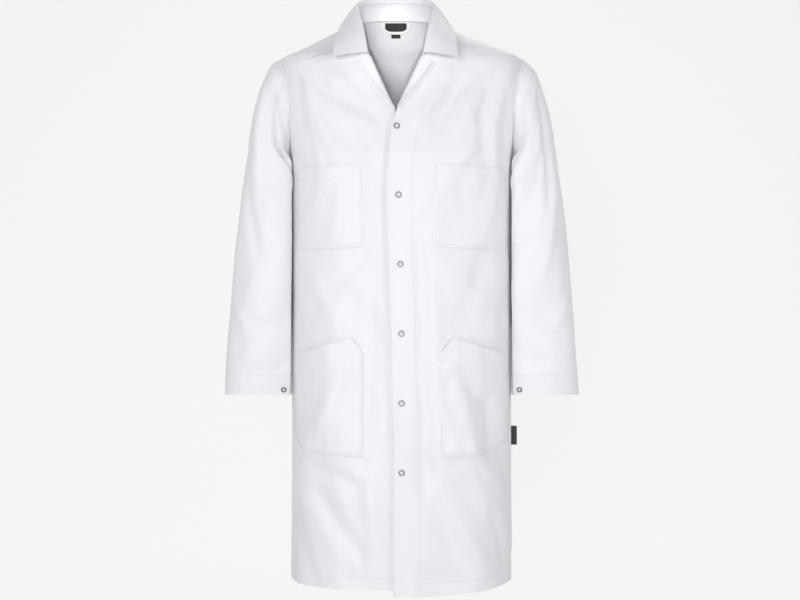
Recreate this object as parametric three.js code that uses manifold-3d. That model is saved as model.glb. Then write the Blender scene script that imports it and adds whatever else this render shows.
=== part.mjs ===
// Long-sleeved lab coat with a notched lapel collar, closed by ring snaps down the front.
// Millimetres, +Z up. The front faces -Y and the wearer's left is +X.
// It is drawn with the hem at height 0, then moved so that the hang point is the origin.
import * as THREE from "three";
import { mergeVertices } from "three/addons/utils/BufferGeometryUtils.js";
import Module from "manifold-3d";

// Cloth: each panel stands for a sewn, turned layer, and the layers lie a small gap apart.
const cloth = 1.6;
const gap = 0.4;
const layer = cloth + gap;
const seamGap = 0.4;

// Body
const bodyHalfWidth = 204;
const bodyFrontDepth = 142;
const bodyBackDepth = 138;
const shoulderHeight = 981;
const armpitHeight = shoulderHeight - 196;
const shoulderHalfWidth = bodyHalfWidth + 14;
const neckSideHeight = shoulderHeight + 58;
const neckHalfWidth = 88;
const neckBackHeight = neckSideHeight + 25;
const hemDrop = 10; // the overlapping front hangs this much lower at its edge
const neckLean = -11; // the worn coat sits this far to one side at the neck
const leanFrom = 400; // heights where that lean begins and is whole
const leanTo = shoulderHeight + 19;
const leanWide = bodyHalfWidth - 4; // it fades out between these distances from the middle
const leanNarrow = leanWide - 90;

// Front closing
const frontEdge = -17; // edge of the overlapping front, from the middle
const underlapEdge = 11; // edge of the front underneath
const breakHeight = shoulderHeight - 113; // where the lapels begin to turn back
const gorge = { x: neckHalfWidth - 41.5, z: shoulderHeight - 15 }; // inner end of the seam between collar and lapel
const facingWidth = 50;
const snapSpace = 3; // room between the fronts for a closed snap
const snapLine = 0;
const snapTop = breakHeight - 34;
const snapPitch = 124.4;
const snapCount = 6;

// Seams
const yokeSeam = { x: neckHalfWidth + 18, z: shoulderHeight - 1, slope: -0.248 };
const yokeNeck = neckHalfWidth - 10; // where the yoke seam ends at the neck
const backYokeHeight = shoulderHeight - 51;
const hemWidth = 24;
const cuffHemWidth = 26;

// Armhole and sleeve
const armholeHalfDepth = 60;
const armholeTop = shoulderHeight - 1;
const sleeveSeat = 1.1; // the sleeve head stands this far off the body's outer face
const cuffHeight = 344;
const cuffOuter = bodyHalfWidth + 130;
const cuffInner = bodyHalfWidth + 5;
const cuffHalfDepth = 42;
const bicepsHalfDepth = 72;
const drawnSleeve = { side: 204, top: 980, armpit: 785, cuff: 344 }; // what the sleeve is drawn for
const sleeveForward = -18; // the cuff lies this far forward of the shoulder

// Pockets, on the wearer's left; the right ones mirror them
const chestPocket = {
  inner: 64,
  outer: bodyHalfWidth - 12,
  bottom: armpitHeight - 174,
  top: armpitHeight - 20,
  slant: 5,
};
const hipPocket = {
  inner: 68,
  outer: bodyHalfWidth - 8,
  bottom: chestPocket.bottom - 374,
  inTop: chestPocket.bottom - 185,
  peak: chestPocket.bottom - 158,
  peakX: 92,
  outTop: chestPocket.bottom - 191,
};

// Collar
const tipPoint = [112, -101.5, 963];
const drawnNeck = { halfWidth: 88, sideHeight: 1039, front: 142, back: 138 }; // what the collar is drawn for
const labelWidth = 42;
const labelHeight = 14;

// Snaps
const snapRadius = 5.7;
const snapSides = 10;

// The point of the loop that a peg holds
const loopFall = 19;
const loopStand = 11; // how far the loop's bend stands off the neck
const loopSeat = 77.3; // the loop's ends lie this much nearer than the body's back
const hangPoint = new THREE.Vector3(neckLean, bodyBackDepth - loopSeat - 0.7, neckBackHeight - 4 - loopFall);

const angleSteps = 40;
const wasm = await Module();
wasm.setup();

const coat = new THREE.Group();

const finishes = {
  cloth: { color: 0xf2f2f4, roughness: 0.85, metalness: 0 },
  tape: { color: 0xeeeeef, roughness: 0.8, metalness: 0 },
  label: { color: 0x16161a, roughness: 0.7, metalness: 0 },
  steel: { color: 0xa9abb0, roughness: 0.35, metalness: 1 },
};

// ---- The body's surface ----

// Rings of the body from hem to neck: heights at front, side and back, half sizes, and the
// power of the rounded-box outline.
function makeRings() {
  const rings = [];
  const lower = [0, 0.19, 0.38, 0.57, 0.76, 0.9, 1];
  for (const share of lower) {
    const z = armpitHeight * share;
    rings.push({
      front: z,
      side: z,
      back: z,
      halfWidth: bodyHalfWidth + 3 * (1 - share) ** 2 + 2 * share ** 4,
      frontDepth: bodyFrontDepth + 3 * (1 - share) - 5 * share ** 3,
      backDepth: bodyBackDepth + 3 * (1 - share) - 6 * share ** 3,
      power: 2.4 + 0.4 * share ** 3,
    });
  }
  const chest = shoulderHeight - armpitHeight;
  const upper = [
    [0.3, 0.3, 0.3, -6, -13, -12, 3],
    [0.54, 0.54, 0.54, -1, -22, -17, 3],
    [0.76, 0.76, 0.76, 2, -33, -23, 3],
    [0.88, 0.9, 0.92, 4, -41, -28, 2.9],
    [0.94, 0.97, 1.05, 3.5, -46, -34, 2.7],
  ];
  for (const [front, side, back, wider, frontIn, backIn, power] of upper)
    rings.push({
      front: armpitHeight + chest * front,
      side: armpitHeight + chest * side,
      back: armpitHeight + chest * back,
      halfWidth: shoulderHalfWidth + wider,
      frontDepth: bodyFrontDepth + frontIn,
      backDepth: bodyBackDepth + backIn,
      power,
    });
  const slopes = [0, 0.33, 0.67, 1];
  for (const share of slopes) {
    const rise = neckSideHeight - shoulderHeight;
    rings.push({
      front: shoulderHeight - 9 + 10 * share,
      side: shoulderHeight + rise * share,
      back: THREE.MathUtils.lerp(shoulderHeight + 22, neckBackHeight, share),
      halfWidth: THREE.MathUtils.lerp(shoulderHalfWidth, neckHalfWidth, share),
      frontDepth: bodyFrontDepth - 48 - 14 * share,
      backDepth: bodyBackDepth - 40 - 34 * share,
      power: 2.6 - 0.2 * share,
    });
  }
  return rings;
}
const rings = makeRings();

const signedPower = (value, power) => Math.sign(value) * Math.abs(value) ** power;

// A point of the body's surface: angle 0 is the middle of the front, a quarter turn is the
// wearer's left side.
function bodyPoint(step, row, drop = 0) {
  const ring = rings[THREE.MathUtils.clamp(row, 0, rings.length - 1)];
  const angle = (2 * Math.PI * step) / angleSteps;
  const across = Math.sin(angle);
  const ahead = Math.cos(angle);
  const depth = ahead > 0 ? ring.frontDepth : ring.backDepth;
  const end = ahead > 0 ? ring.front : ring.back;
  const lower = row === 0 ? drop * Math.max(0, ahead) ** 2 : 0;
  return new THREE.Vector3(
    ring.halfWidth * signedPower(across, 2 / ring.power),
    -depth * signedPower(ahead, 2 / ring.power),
    ring.side + (end - ring.side) * Math.abs(ahead) - lower,
  );
}

function bodyNormal(step, row) {
  const below = Math.max(0, row - 1);
  const above = Math.min(rings.length - 1, row + 1);
  const around = bodyPoint(step + 1, row).sub(bodyPoint(step - 1, row));
  const up = bodyPoint(step, above).sub(bodyPoint(step, below));
  return around.cross(up).normalize();
}

// ---- Closed solids from grids ----

// Joins two grids of points, the second inside the first, into one closed skin.
function skinGeometry(outside, inside, closed) {
  const rows = outside.length;
  const steps = outside[0].length;
  const positions = [];
  for (const grid of [outside, inside])
    for (const line of grid) for (const point of line) positions.push(point.x, point.y, point.z);
  const at = (side, row, step) => side * rows * steps + row * steps + (step % steps);
  const faces = [];
  const quad = (a, b, c, d) => faces.push(a, b, c, a, c, d);
  const spans = closed ? steps : steps - 1;
  for (let row = 0; row < rows - 1; row += 1)
    for (let step = 0; step < spans; step += 1) {
      quad(at(0, row, step), at(0, row, step + 1), at(0, row + 1, step + 1), at(0, row + 1, step));
      quad(at(1, row, step), at(1, row + 1, step), at(1, row + 1, step + 1), at(1, row, step + 1));
    }
  const last = rows - 1;
  for (let step = 0; step < spans; step += 1) {
    quad(at(0, 0, step), at(1, 0, step), at(1, 0, step + 1), at(0, 0, step + 1));
    quad(at(0, last, step), at(0, last, step + 1), at(1, last, step + 1), at(1, last, step));
  }
  if (!closed)
    for (let row = 0; row < last; row += 1) {
      quad(at(0, row, 0), at(0, row + 1, 0), at(1, row + 1, 0), at(1, row, 0));
      quad(at(0, row, spans), at(1, row, spans), at(1, row + 1, spans), at(0, row + 1, spans));
    }
  const geometry = new THREE.BufferGeometry();
  geometry.setAttribute("position", new THREE.Float32BufferAttribute(positions, 3));
  geometry.setIndex(faces);
  return geometry;
}

// A skin all round the body, from inner to inner + cloth off its surface, less the dip at the front.
function bodySkin(inner, dip = 0, drop = 0) {
  const grid = (offset) =>
    rings.map((ring, row) =>
      Array.from({ length: angleSteps }, (unused, step) => {
        const point = bodyPoint(step, row, drop);
        const fromMiddle = Math.abs(bodyPoint(step, row).x) / bodyHalfWidth;
        const sunk = 1 - THREE.MathUtils.smoothstep(fromMiddle, 0.33, 0.6);
        const front = point.y < 0 ? sunk : 0;
        return point.addScaledVector(bodyNormal(step, row), offset - dip * front);
      }),
    );
  return solidOf(skinGeometry(grid(inner + cloth), grid(inner), true));
}

// A cloth strip of even thickness on a surface given as rows of points.
function stripGeometry(lines, thickness = cloth) {
  const shifted = (offset) =>
    lines.map((line, row) =>
      line.map((point, step) => {
        const along = line[Math.min(step + 1, line.length - 1)].clone();
        along.sub(line[Math.max(step - 1, 0)]);
        const up = lines[Math.min(row + 1, lines.length - 1)][step].clone();
        up.sub(lines[Math.max(row - 1, 0)][step]);
        return point.clone().addScaledVector(along.cross(up).normalize(), offset);
      }),
    );
  return skinGeometry(shifted(thickness / 2), shifted(-thickness / 2), false);
}

function solidOf(geometry) {
  const bare = geometry.clone();
  bare.deleteAttribute("normal");
  bare.deleteAttribute("uv");
  const merged = mergeVertices(bare, 1e-4);
  return new wasm.Manifold(
    new wasm.Mesh({
      numProp: 3,
      vertProperties: new Float32Array(merged.attributes.position.array),
      triVerts: new Uint32Array(merged.index.array),
    }),
  );
}

function geometryOf(solid) {
  const mesh = solid.getMesh();
  const geometry = new THREE.BufferGeometry();
  geometry.setAttribute("position", new THREE.Float32BufferAttribute(mesh.vertProperties, 3));
  geometry.setIndex(Array.from(mesh.triVerts));
  return geometry;
}

function mirrorGeometry(geometry) {
  const mirrored = geometry.clone().scale(-1, 1, 1);
  const index = Array.from(mirrored.index.array);
  for (let face = 0; face < index.length; face += 3)
    [index[face + 1], index[face + 2]] = [index[face + 2], index[face + 1]];
  mirrored.setIndex(index);
  return mirrored;
}

// ---- Cutters ----

// The outline (x, z) through the front half of the body, or the back half.
function prism(outline, half) {
  const reach = 400;
  const shape = new THREE.Shape(outline.map(([x, z]) => new THREE.Vector2(x, z)));
  const geometry = new THREE.ExtrudeGeometry(shape, { depth: reach, bevelEnabled: false });
  geometry.rotateX(Math.PI / 2);
  geometry.translate(0, half === "front" ? -seamGap / 2 : reach + seamGap / 2, 0);
  return solidOf(geometry);
}

function armholeCutter() {
  const shape = new THREE.Shape();
  const middle = (armholeTop + armpitHeight) / 2;
  shape.absellipse(0, middle, armholeHalfDepth, (armholeTop - armpitHeight) / 2, 0, 2 * Math.PI);
  const geometry = new THREE.ExtrudeGeometry(shape, {
    depth: 600,
    bevelEnabled: false,
    curveSegments: 14,
  });
  const turn = new THREE.Matrix4().makeBasis(
    new THREE.Vector3(0, 1, 0),
    new THREE.Vector3(0, 0, 1),
    new THREE.Vector3(1, 0, 0),
  );
  geometry.applyMatrix4(turn);
  geometry.translate(-300, 0, 0);
  return solidOf(geometry);
}

const seamHeight = (x) => yokeSeam.z + yokeSeam.slope * (Math.abs(x) - yokeSeam.x);
const mirrorOutline = (outline) => outline.map(([x, z]) => [-x, z]).reverse();

// ---- Placing ----

function lean(x, z) {
  const middle = 1 - THREE.MathUtils.smoothstep(Math.abs(x), leanNarrow, leanWide);
  return neckLean * THREE.MathUtils.smoothstep(z, leanFrom, leanTo) * middle;
}

function leanGeometry(geometry) {
  const place = geometry.attributes.position;
  for (let i = 0; i < place.count; i += 1) {
    const x = place.getX(i);
    place.setX(i, x + lean(x, place.getZ(i)));
  }
  return geometry;
}

function add(name, geometry, finish = "cloth") {
  geometry.computeVertexNormals();
  const mesh = new THREE.Mesh(geometry, new THREE.MeshStandardMaterial(finishes[finish]));
  mesh.name = name;
  coat.add(mesh);
  return mesh;
}

const addCut = (name, skin, cutter, finish) =>
  add(name, leanGeometry(geometryOf(skin.intersect(cutter))), finish);

// ---- Body panels ----

const armhole = armholeCutter();
const wide = shoulderHalfWidth + 30;
const under = -60;
const above = neckBackHeight + 100;
const underFront = -(2 * layer + snapSpace);

const mainSkin = bodySkin(0).subtract(armhole);
const innerSkin = bodySkin(-layer);
const outerSkin = bodySkin(layer);

function addBack() {
  const seam = seamGap / 2;
  const low = prism([[-wide, under], [wide, under], [wide, backYokeHeight - seam],
    [-wide, backYokeHeight - seam]], "back");
  addCut("back_panel", mainSkin, low);
  addCut("back_hem", innerSkin, prism([[-wide, under], [wide, under], [wide, hemWidth],
    [-wide, hemWidth]], "back"));
  const high = prism([[-wide, backYokeHeight + seam], [wide, backYokeHeight + seam], [wide, above],
    [-wide, above]], "back");
  const shoulder = [[yokeNeck, seamHeight(yokeNeck) + seam], [wide, seamHeight(wide) + seam],
    [wide, above], [yokeNeck, above]];
  const joint = new THREE.BoxGeometry(2 * wide, 2 * seamGap, above - shoulderHeight + 20);
  joint.translate(0, 0, (above + shoulderHeight - 20) / 2);
  const whole = high
    .add(prism(shoulder, "front"))
    .add(prism(mirrorOutline(shoulder), "front"))
    .add(solidOf(joint));
  addCut("back_yoke", mainSkin, whole);
  const half = neckHalfWidth - 14;
  const moon = [[half, above], [-half, above]];
  const arcSteps = 8;
  for (let i = 0; i <= arcSteps; i += 1) {
    const turn = (Math.PI * i) / arcSteps;
    moon.push([-half * Math.cos(turn), neckBackHeight - 14 - 47 * Math.sin(turn)]);
  }
  addCut("neck_facing", innerSkin, prism(moon, "back"));
}

// The overlapping front's outline, from the hem up its edge, the lapel's roll and the yoke seam.
function frontOutline(edge, breakX) {
  return [
    [edge + 2, under],
    [wide, under],
    [wide, seamHeight(wide) - seamGap / 2],
    [yokeNeck, seamHeight(yokeNeck) - seamGap / 2],
    [gorge.x, gorge.z],
    [breakX, breakHeight],
    [breakX + (edge - breakX) * 0.45, breakHeight - 26],
    [breakX + (edge - breakX) * 0.8, breakHeight - 60],
    [edge - 5, breakHeight - 130],
    [edge - 6, breakHeight - 270],
    [edge - 3, breakHeight - 470],
    [edge + 2, breakHeight - 620],
  ];
}

function lapelOutline(breakX) {
  const start = breakHeight + 6;
  const along = (share, out) => [
    THREE.MathUtils.lerp(breakX, gorge.x, share) + out,
    THREE.MathUtils.lerp(start, gorge.z, share),
  ];
  return [along(0, 0), along(0.25, 11), along(0.5, 18), along(0.66, 22), along(0.83, 28), [gorge.x, gorge.z - 2]];
}

function pocketOutline(pocket) {
  if (pocket === chestPocket)
    return [
      [pocket.inner, pocket.bottom + 3],
      [(pocket.inner + pocket.outer) / 2, pocket.bottom],
      [pocket.outer - 4, pocket.bottom - 2],
      [pocket.outer, pocket.top - pocket.slant],
      [pocket.inner, pocket.top],
    ];
  return [
    [pocket.inner, pocket.bottom],
    [pocket.outer - 52, pocket.bottom + 3],
    [pocket.outer - 18, pocket.bottom + 11],
    [pocket.outer - 4, pocket.bottom + 24],
    [pocket.outer, pocket.outTop],
    [pocket.peakX, pocket.peak],
    [pocket.inner, pocket.inTop],
  ];
}

function addFronts() {
  const sides = [
    {
      side: "left",
      turn: (outline) => outline,
      front: bodySkin(0, 0, hemDrop).subtract(armhole),
      inner: bodySkin(-layer, 0, hemDrop),
      outer: bodySkin(layer),
      outline: frontOutline(frontEdge, 2),
      edge: frontEdge - 8,
      lapel: lapelOutline(2),
      facingTo: 26,
    },
    {
      side: "right",
      turn: mirrorOutline,
      front: bodySkin(0, -underFront).subtract(armhole),
      inner: bodySkin(-layer, -underFront),
      outer: bodySkin(layer, -underFront),
      outline: frontOutline(-underlapEdge, 2),
      edge: -underlapEdge - 8,
      lapel: lapelOutline(3),
      facingTo: facingWidth + 4,
    },
  ];
  for (const { side, turn, front, inner, outer, outline, edge, lapel, facingTo } of sides) {
    const frontPrism = prism(turn(outline), "front");
    addCut(side + "_front_panel", front, frontPrism);
    const below = breakHeight - 12;
    const facing = prism(turn([[edge, under], [facingTo, under], [facingTo, below], [edge, below]]), "front");
    addCut(side + "_facing", inner, facing.intersect(frontPrism));
    const hem = [[facingTo + seamGap, under], [wide, under], [wide, hemWidth], [facingTo + seamGap, hemWidth]];
    addCut(side + "_front_hem", inner, prism(turn(hem), "front"));
    addCut(side + "_lapel", outer, prism(turn(lapel), "front"));
    addCut(side + "_chest_pocket", outer, prism(turn(pocketOutline(chestPocket)), "front"));
    addCut(side + "_hip_pocket", outer, prism(turn(pocketOutline(hipPocket)), "front"));
  }
}

// ---- Collar ----

function fitToNeck([x, y, z]) {
  const depth = y < 0 ? bodyFrontDepth / drawnNeck.front : bodyBackDepth / drawnNeck.back;
  return [(x * neckHalfWidth) / drawnNeck.halfWidth, y * depth, z + neckSideHeight - drawnNeck.sideHeight];
}

// A smooth curve through half the points, mirrored to the other side.
function neckCurve(drawn) {
  const half = drawn.map(fitToNeck);
  const mirrored = half.slice(0, -1).map(([x, y, z]) => [-x, y, z]);
  const points = [...mirrored, ...half.slice().reverse()].map((point) => new THREE.Vector3(...point));
  return new THREE.CatmullRomCurve3(points, false, "centripetal");
}

const foldCurve = neckCurve([
  [51, -99, 973], [56, -74, 1004], [62, -43, 1036], [69, -10, 1066],
  [70, 18, 1088], [46, 44, 1101], [0, 55, 1104],
]);
const standCurve = neckCurve([
  [54, -93, 974.5], [69, -67, 994], [80, -36, 1020], [88, 0, 1041],
  [78, 32, 1054], [48, 55, 1063.5], [0, 63.5, 1066.5],
]);
const edgeCurve = neckCurve([
  tipPoint, [114, -80, 989], [113, -44, 1016], [110, -4, 1038],
  [103, 42, 1048], [68, 80, 1049], [0, 88, 1045],
]);

function addCollar() {
  const steps = 22;
  const standLines = [];
  const leafLines = [];
  const shares = Array.from({ length: steps + 1 }, (unused, i) => i / steps);
  for (const height of [0, 0.5, 1])
    standLines.push(
      shares.map((share) => {
        const low = standCurve.getPoint(share);
        const high = foldCurve.getPoint(share);
        high.z -= layer + gap;
        return low.lerp(high, height);
      }),
    );
  for (const drop of [1, 0.7, 0.4, 0.12, 0])
    leafLines.push(
      shares.map((share) => {
        const fold = foldCurve.getPoint(share);
        const edge = edgeCurve.getPoint(share);
        const outward = new THREE.Vector3(fold.x, fold.y, 0).normalize();
        const bulge = 3.6 * Math.min(1, drop / 0.12) + 10 * drop * (1 - drop);
        return fold.lerp(edge, drop).addScaledVector(outward, bulge);
      }),
    );
  add("collar_stand", leanGeometry(stripGeometry(standLines)));
  add("collar_leaf", leanGeometry(stripGeometry(leafLines)));
}

// ---- Sleeves ----

// Half width and depth of the body at a height beside the armhole.
function sideOfBody(y, z) {
  let row = rings.findIndex((ring) => ring.side > z);
  if (row < 1) row = rings.length - 1;
  const low = rings[row - 1];
  const high = rings[row];
  const share = (z - low.side) / (high.side - low.side);
  const mix = (key) => THREE.MathUtils.lerp(low[key], high[key], share);
  const depth = y < 0 ? mix("frontDepth") : mix("backDepth");
  const power = mix("power");
  return mix("halfWidth") * (1 - Math.min(1, Math.abs(y) / depth) ** power) ** (1 / power);
}

// A height on the drawn sleeve, stretched to the real one.
function fitHeight(z, drawnTop, top) {
  return cuffHeight + ((z - drawnSleeve.cuff) * (top - cuffHeight)) / (drawnTop - drawnSleeve.cuff);
}

function fitToArm([outX, outZ, inX, inZ, halfDepth, ahead]) {
  const shift = bodyHalfWidth - drawnSleeve.side;
  return [
    outX + shift,
    fitHeight(outZ, drawnSleeve.top, armholeTop),
    inX + shift,
    fitHeight(inZ, drawnSleeve.armpit, armpitHeight),
    halfDepth,
    ahead,
  ];
}

// Rings of the sleeve: outer and inner line, height of each, half depth and how far forward.
function sleeveRings() {
  const middle = (armholeTop + armpitHeight) / 2;
  const list = [
    [236, 973, 209.5, 779, 63, 0],
    [252, 957, 210, 768, 66, -1],
    [265, 925, 210, 750, 69, -2],
    [279, 872, 209.5, 722, bicepsHalfDepth, -4],
    [290, 806, 209, 686, bicepsHalfDepth - 2, -6],
    [301, 724, 208.5, 640, 66, -8],
    [312, 630, 208.5, 580, 60, -11],
    [320, 530, 208.5, 505, 54, -13],
    [328, 440, 208.5, 428, 48, sleeveForward + 2],
  ];
  const cuff = [cuffOuter, cuffHeight, cuffInner, cuffHeight, cuffHalfDepth, sleeveForward];
  return { middle, list: [...list.map(fitToArm), cuff] };
}

function sleeveLines(inset) {
  const sides = 20;
  const { middle, list } = sleeveRings();
  const turns = Array.from({ length: sides }, (unused, i) => (2 * Math.PI * i) / sides);
  const headLine = turns.map((turn) => {
    const y = (armholeHalfDepth + 1 - inset) * Math.sin(turn);
    const z = middle + ((armholeTop - armpitHeight) / 2 + 1 - inset) * Math.cos(turn);
    return new THREE.Vector3(sideOfBody(y, z) + cloth + sleeveSeat, y, z);
  });
  const lines = [headLine];
  for (const [outX, outZ, inX, inZ, halfDepth, ahead] of list)
    lines.push(
      turns.map((turn) => {
        const swing = Math.cos(turn);
        const width = Math.hypot(outX - inX, outZ - inZ);
        const share = 0.5 + 0.5 * swing * (1 - (2 * inset) / width);
        return new THREE.Vector3(
          THREE.MathUtils.lerp(inX, outX, share),
          ahead + (halfDepth - inset) * signedPower(Math.sin(turn), 0.85),
          THREE.MathUtils.lerp(inZ, outZ, share),
        );
      }),
    );
  return lines;
}

function addSleeves() {
  const outside = sleeveLines(0);
  const inside = sleeveLines(cloth);
  const tube = skinGeometry(outside.slice().reverse(), inside.slice().reverse(), true);
  const last = outside.length - 1;
  const cuffLine = (inset, rise) => {
    const line = sleeveLines(inset);
    const share = rise / (line[last - 1][10].z - cuffHeight);
    return line[last].map((point, i) => point.clone().lerp(line[last - 1][i], share));
  };
  const band = (inset) => [cuffLine(inset, 0), cuffLine(inset, cuffHemWidth)];
  const hem = skinGeometry(band(layer), band(layer + cloth), true);
  for (const side of ["left", "right"]) {
    const turned = (geometry) => (side === "left" ? geometry.clone() : mirrorGeometry(geometry));
    add(side + "_sleeve", turned(tube));
    add(side + "_cuff_hem", turned(hem));
  }
}

// ---- Trim ----

function addTrim() {
  const labelSkin = bodySkin(-2 * layer);
  const top = neckBackHeight - 3;
  const half = labelWidth / 2;
  const plate = [[-half, top - labelHeight], [half, top - labelHeight], [half, top], [-half, top]];
  addCut("neck_label", labelSkin, prism(plate, "back"), "label");
  const tabTop = top - labelHeight - 8;
  const tab = [[-9, tabTop - 7], [9, tabTop - 7], [9, tabTop], [-9, tabTop]];
  addCut("size_tab", labelSkin, prism(tab, "back"), "label");
  const tapeHalf = 2.2;
  const lines = [-tapeHalf, tapeHalf].map((across) =>
    Array.from({ length: 13 }, (unused, i) => {
      const turn = (Math.PI * i) / 12;
      const reach = half + 4 + across;
      const fall = loopFall + across;
      const out = loopStand * Math.sin(turn);
      const z = top - 1 - fall * Math.sin(turn);
      const y = bodyBackDepth - loopSeat + (top - z) * 0.45 - out;
      return new THREE.Vector3(-reach * Math.cos(turn), y, z);
    }),
  );
  add("hanger_loop", leanGeometry(stripGeometry(lines, 1.2)), "tape");
  const flag = new THREE.BoxGeometry(12, 1.2, 36);
  flag.translate(bodyHalfWidth + cloth + 7.6, 0, 264);
  add("side_flag_label", flag, "label");
}

// ---- Snaps ----

// A ring turned about its own axis, between two radii and two heights.
function ringGeometry(inner, outer, low, high) {
  const bevel = 0.35;
  const profile = [
    [inner, low], [outer, low], [outer, high - bevel], [outer - bevel, high],
    [inner, high], [inner, low],
  ];
  return new THREE.LatheGeometry(profile.map(([r, h]) => new THREE.Vector2(r, h)), snapSides);
}

function studGeometry(base) {
  const profile = [[0, base], [5, base], [5, base + 0.7], [1.5, base + 0.7], [1.5, base + 2.2], [0, base + 2.2]];
  return new THREE.LatheGeometry(profile.map(([r, h]) => new THREE.Vector2(r, h)), snapSides);
}

// The outer face of a mesh where a ray from the point first meets it.
function faceSeenFrom(mesh, from, toward) {
  const ray = new THREE.Raycaster(from, toward.clone().normalize());
  mesh.material.side = THREE.DoubleSide;
  const hit = ray.intersectObject(mesh, false)[0];
  return { point: hit.point, normal: hit.face.normal.clone() };
}

function placeOn(name, geometry, face, offset) {
  const mesh = add(name, geometry, "steel");
  mesh.quaternion.setFromUnitVectors(new THREE.Vector3(0, 1, 0), face.normal);
  mesh.position.copy(face.point).addScaledVector(face.normal, offset);
}

function addSnaps() {
  const seat = 0.4;
  const front = coat.getObjectByName("left_front_panel");
  const backOfFacing = -cloth - layer;
  const faceOfUnder = underFront;
  const backOfUnder = underFront - cloth - layer;
  for (let i = 0; i < snapCount; i += 1) {
    const z = snapTop - i * snapPitch;
    const from = new THREE.Vector3(snapLine + lean(snapLine, z), -400, z);
    const face = faceSeenFrom(front, from, new THREE.Vector3(0, 1, 0));
    const number = i + 1;
    placeOn("snap_cap_ring_" + number, ringGeometry(3.2, snapRadius, seat, seat + 1.5), face, 0);
    placeOn("snap_socket_" + number, ringGeometry(3.4, 5.2, -1.8, -0.3), face, backOfFacing);
    placeOn("snap_stud_" + number, studGeometry(0.3), face, faceOfUnder);
    placeOn("snap_back_ring_" + number, ringGeometry(2.4, 5.2, -1.7, -seat), face, backOfUnder);
  }
  for (const side of ["left", "right"]) {
    const sign = side === "left" ? 1 : -1;
    const sleeve = coat.getObjectByName(side + "_sleeve");
    const from = new THREE.Vector3(sign * (cuffInner + 12), -400, cuffHeight + 11);
    const face = faceSeenFrom(sleeve, from, new THREE.Vector3(0, 1, 0));
    placeOn(side + "_cuff_snap_ring", ringGeometry(2.8, 5, seat, seat + 1.5), face, 0);
    placeOn(side + "_cuff_snap_back", ringGeometry(2.4, 4.2, -1.7, -seat), face, -cloth - layer - 0.8);
  }
}

addBack();
addFronts();
addCollar();
addSleeves();
addTrim();
addSnaps(); // placed by rays, in the drawing's own frame
coat.position.copy(hangPoint).negate();

export default coat;
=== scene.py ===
import math
import bmesh
import bpy
import numpy as np
from mathutils import Matrix, Vector


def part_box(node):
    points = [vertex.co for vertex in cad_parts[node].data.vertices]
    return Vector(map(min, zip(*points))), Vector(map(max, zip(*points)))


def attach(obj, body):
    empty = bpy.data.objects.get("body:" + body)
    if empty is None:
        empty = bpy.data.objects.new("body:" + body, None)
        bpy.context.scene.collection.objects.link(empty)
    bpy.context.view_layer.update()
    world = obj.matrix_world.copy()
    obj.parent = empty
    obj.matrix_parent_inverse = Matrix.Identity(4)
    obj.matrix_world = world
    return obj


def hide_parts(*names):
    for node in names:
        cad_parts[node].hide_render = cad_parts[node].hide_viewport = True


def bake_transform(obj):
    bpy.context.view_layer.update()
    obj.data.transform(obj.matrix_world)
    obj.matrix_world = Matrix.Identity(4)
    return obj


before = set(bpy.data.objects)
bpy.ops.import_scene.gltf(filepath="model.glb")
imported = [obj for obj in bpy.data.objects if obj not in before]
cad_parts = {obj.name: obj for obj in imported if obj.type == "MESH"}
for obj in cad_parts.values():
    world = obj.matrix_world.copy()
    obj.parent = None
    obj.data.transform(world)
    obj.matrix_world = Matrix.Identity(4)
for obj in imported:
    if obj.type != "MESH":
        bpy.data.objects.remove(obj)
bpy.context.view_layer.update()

mm = 0.001

# where the coat hangs

backLow, backHigh = (np.array(corner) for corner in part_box("back_panel"))
hemLevel = backLow[2]
home = np.array([(backLow[0] + backHigh[0]) / 2, backLow[1] - 0.0002, hemLevel])

coat = {
    "halfWidth": 0.204, "frontDepth": 0.142, "backDepth": 0.138,
    "armpit": 0.785, "shoulder": 0.981, "shoulderHalf": 0.218,
    "neckSide": 1.039, "neckHalf": 0.088, "neckBack": 1.064,
    "hemDrop": 0.010, "neckLean": -0.011, "leanFrom": 0.4, "leanTo": 1.0,
    "leanNarrow": 0.110, "leanWide": 0.200,
    "breakHeight": 0.868, "gorge": (0.0465, 0.966), "yokeNeck": 0.078,
    "seamX": 0.106, "seamZ": 0.980, "seamSlope": -0.248, "backYoke": 0.930,
    "armDepth": 0.060, "armTop": 0.980, "seamEnd": 0.2075,
}
armMiddle = (coat["armTop"] + coat["armpit"]) / 2
armHalf = (coat["armTop"] - coat["armpit"]) / 2


def smoothStep(value, low, high):
    share = np.clip((np.asarray(value, float) - low) / (high - low), 0, 1)
    return share * share * (3 - 2 * share)


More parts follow.
